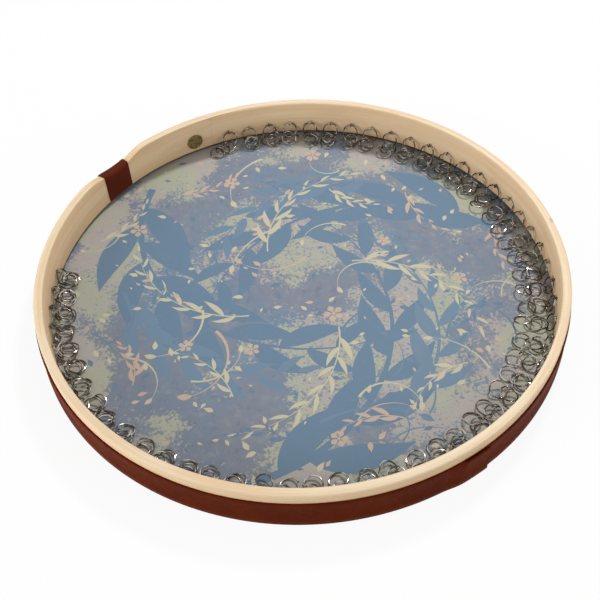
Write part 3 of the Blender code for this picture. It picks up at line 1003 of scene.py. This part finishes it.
# Studio
# A plain white floor under a soft key from behind on the right, with wide low lamps on both sides
# and in front, and an even sky.
FLOOR_SIZE = 12.0
FLOOR_DROP = 0.0004
FLOOR_COLOUR = (0.50, 0.50, 0.50, 1.0)
FLOOR_GLOW = 0.85
FLOOR_GLOW_STRENGTH = 1.07
SKY_STRENGTH = 0.36
KEY_AZIMUTH = math.radians(62)
KEY_ELEVATION = math.radians(51)
KEY_DISTANCE = 2.4
KEY_SIZE = 0.32
KEY_POWER = 36.0
FILL_SIZE = 1.8
LEFT_PLACE = (-2.2, -0.9, 0.6)
LEFT_POWER = 53.0
RIGHT_PLACE = (2.2, -0.9, 0.6)
RIGHT_POWER = 25.0
FRONT_PLACE = (0.0, -2.5, 0.9)
FRONT_POWER = 5.0
CAMERA_PLACE = (-0.0094, -0.6029, 0.6717)
CAMERA_TURN = (41.09, 1.722, -2.63)
CAMERA_LENS = 52.0


def seen_directly(tree):
    """1 for the rays that show a background: those from the camera, a mirror or glass."""
    path = tree.nodes.new("ShaderNodeLightPath").outputs
    seen = maths(tree, "MAXIMUM", path["Is Camera Ray"], path["Is Glossy Ray"])
    return maths(tree, "MAXIMUM", seen, path["Is Transmission Ray"])


def studio_floor():
    """White that takes a pale shadow: part of what the camera sees glows evenly."""
    finish, tree, shader = new_finish("white_floor")
    shader.inputs["Base Color"].default_value = FLOOR_COLOUR
    shader.inputs["Roughness"].default_value = 0.9
    shader.inputs["Specular IOR Level"].default_value = 0.0
    glow = add_node(tree, "Emission", {"Strength": FLOOR_GLOW_STRENGTH})
    share = maths(tree, "MULTIPLY", seen_directly(tree), FLOOR_GLOW)
    mixed = add_node(tree, "MixShader", {0: share, 1: shader.outputs[0], 2: glow})
    tree.links.new(mixed, tree.nodes["Material Output"].inputs["Surface"])
    return finish


def area_light(name, place, size, power, mirrored):
    """A round lamp that faces the drum. One that isn't mirrored shows in no reflection."""
    lamp = bpy.data.lights.new(name, "AREA")
    lamp.shape = "DISK"
    lamp.size = size
    lamp.energy = power
    holder = bpy.data.objects.new(name, lamp)
    holder.location = place
    holder.rotation_euler = Vector(place).to_track_quat("Z", "Y").to_euler()
    holder.visible_glossy = mirrored
    bpy.context.scene.collection.objects.link(holder)


half_floor = FLOOR_SIZE / 2
floor_mesh = bpy.data.meshes.new("floor")
floor_corners = [(x * half_floor, y * half_floor) for x, y in ((-1, -1), (1, -1), (1, 1), (-1, 1))]
floor_mesh.from_pydata([(x, y, -FLOOR_DROP) for x, y in floor_corners], [], [(0, 1, 2, 3)])
show("floor", floor_mesh, studio_floor())

key_reach = KEY_DISTANCE * math.cos(KEY_ELEVATION)
key_place = on_hoop(key_reach, KEY_AZIMUTH, KEY_DISTANCE * math.sin(KEY_ELEVATION))
area_light("key", key_place, KEY_SIZE, KEY_POWER, mirrored=True)
area_light("left", LEFT_PLACE, FILL_SIZE, LEFT_POWER, mirrored=False)
area_light("right", RIGHT_PLACE, FILL_SIZE, RIGHT_POWER, mirrored=False)
area_light("front", FRONT_PLACE, FILL_SIZE, FRONT_POWER, mirrored=False)

world = bpy.data.worlds.new("sky")
world.use_nodes = True
bpy.context.scene.world = world
sky_tree = world.node_tree
sky_level = maths(sky_tree, "MAXIMUM", seen_directly(sky_tree), SKY_STRENGTH)
sky_tree.nodes["Background"].inputs["Color"].default_value = (1.0, 1.0, 1.0, 1.0)
sky_tree.links.new(sky_level, sky_tree.nodes["Background"].inputs["Strength"])

camera = bpy.data.objects.new("camera", bpy.data.cameras.new("camera"))
camera.data.lens = CAMERA_LENS
camera.location = CAMERA_PLACE
camera.rotation_euler = [math.radians(turn) for turn in CAMERA_TURN]
bpy.context.scene.collection.objects.link(camera)
bpy.context.scene.camera = camera
bpy.context.scene.view_settings.view_transform = "Standard"
